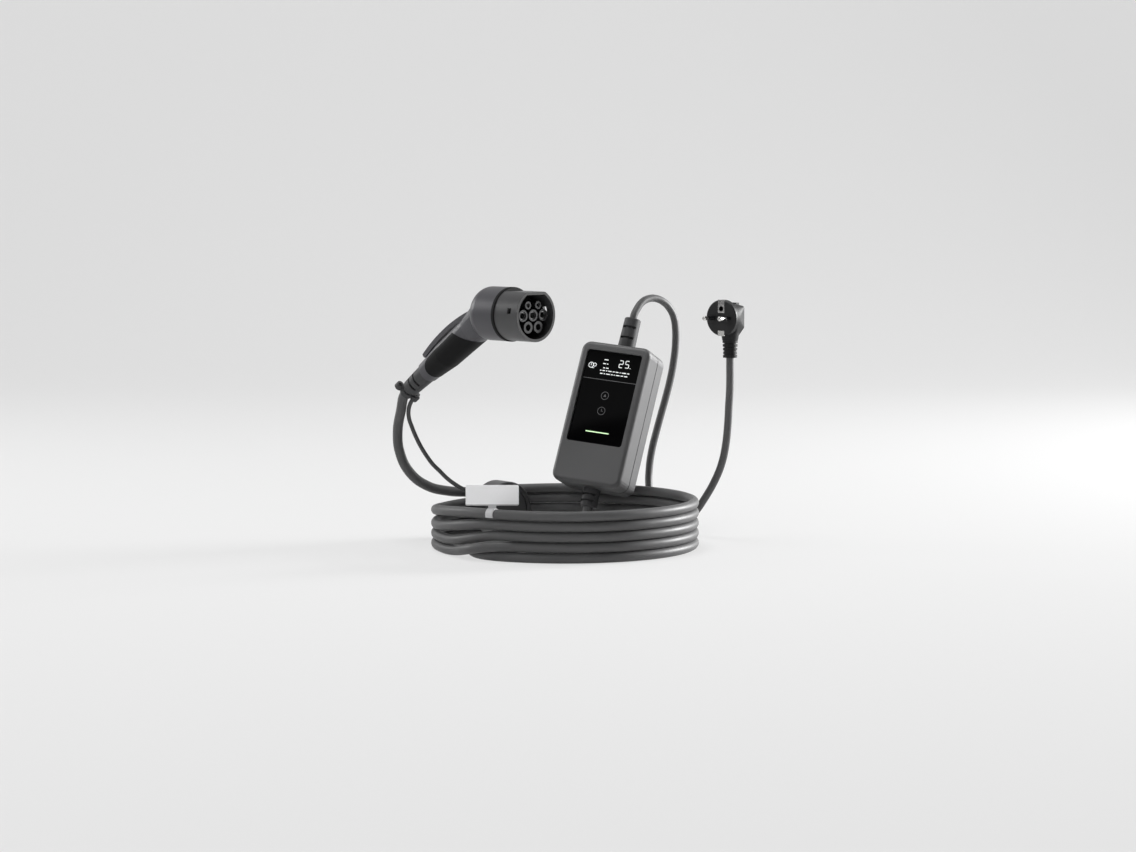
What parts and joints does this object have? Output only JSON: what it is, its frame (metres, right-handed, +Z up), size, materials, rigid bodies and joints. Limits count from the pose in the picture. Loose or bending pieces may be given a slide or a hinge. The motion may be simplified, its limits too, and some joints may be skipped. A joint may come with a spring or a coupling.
{
  "type": "portable electric vehicle charger",
  "caption": "Portable car charger: mains plug, control box with a touch panel, coiled charging cable and an angled hand connector with a tethered dust cap.",
  "frame": {"origin": "on the floor at the middle of the coil", "axes": "+Z up out of the floor, -Y towards the viewer of the picture, +X to the viewer's right"},
  "size_m": [0.3668, 0.3304, 0.2724],
  "materials": {
    "shell_plastic": "fine grained",
    "panel_gloss": "polished",
    "display_glass": "polished",
    "light_guide": "satin, lit green",
    "circuit_board": "lacquered",
    "relay_case": "smooth",
    "coil_core": "wound",
    "transformer_body": "taped",
    "capacitor_can": "sleeved",
    "chip_case": "moulded",
    "terminal_body": "smooth",
    "steel": "plain",
    "gland_plastic": "satin",
    "handle_plastic": "fine grained",
    "soft_grip": "soft matt",
    "spine_plastic": "satin",
    "seal_rubber": "matt",
    "nose_plastic": "satin",
    "carrier_plastic": "satin",
    "contact_metal": "silver plated",
    "plug_plastic": "satin",
    "pin_metal": "nickel plated",
    "tag_film": "printed film, left blank",
    "cable_jacket": "smooth",
    "tether_rubber": "smooth"
  },
  "bodies": {
    "root": {"front_shell": "shell_plastic", "rear_shell": "shell_plastic", "case_seal": "seal_rubber", "touch_panel": "panel_gloss", "display_module": "display_glass", "status_light": "light_guide", "main_board": "circuit_board", "power_relays": "relay_case", "leakage_sensor": "coil_core", "supply_transformer": "transformer_body", "supply_capacitors": "capacitor_can", "control_chip": "chip_case", "mains_terminal": "terminal_body", "output_terminal": "terminal_body", "board_screws": "steel", "case_screws": "steel", "mains_gland": "gland_plastic", "cable_gland": "gland_plastic", "handle_shell": "handle_plastic", "grip_inlay": "soft_grip", "spine_strip": "spine_plastic", "seal_ring": "seal_rubber", "nose_shell": "nose_plastic", "contact_carrier": "carrier_plastic", "power_contacts": "contact_metal", "signal_contacts": "contact_metal", "coding_board": "circuit_board", "handle_gland": "gland_plastic", "tether_clip": "gland_plastic", "dust_cap": "nose_plastic", "cap_seal": "seal_rubber", "plug_body": "plug_plastic", "plug_face": "plug_plastic", "line_pins": "pin_metal", "earth_contacts": "pin_metal", "cable_tag": "tag_film", "cable_coil": "cable_jacket", "cable_riser": "cable_jacket", "cable_link": "cable_jacket", "mains_lead": "cable_jacket", "tether": "tether_rubber"}
  },
  "joints": []
}
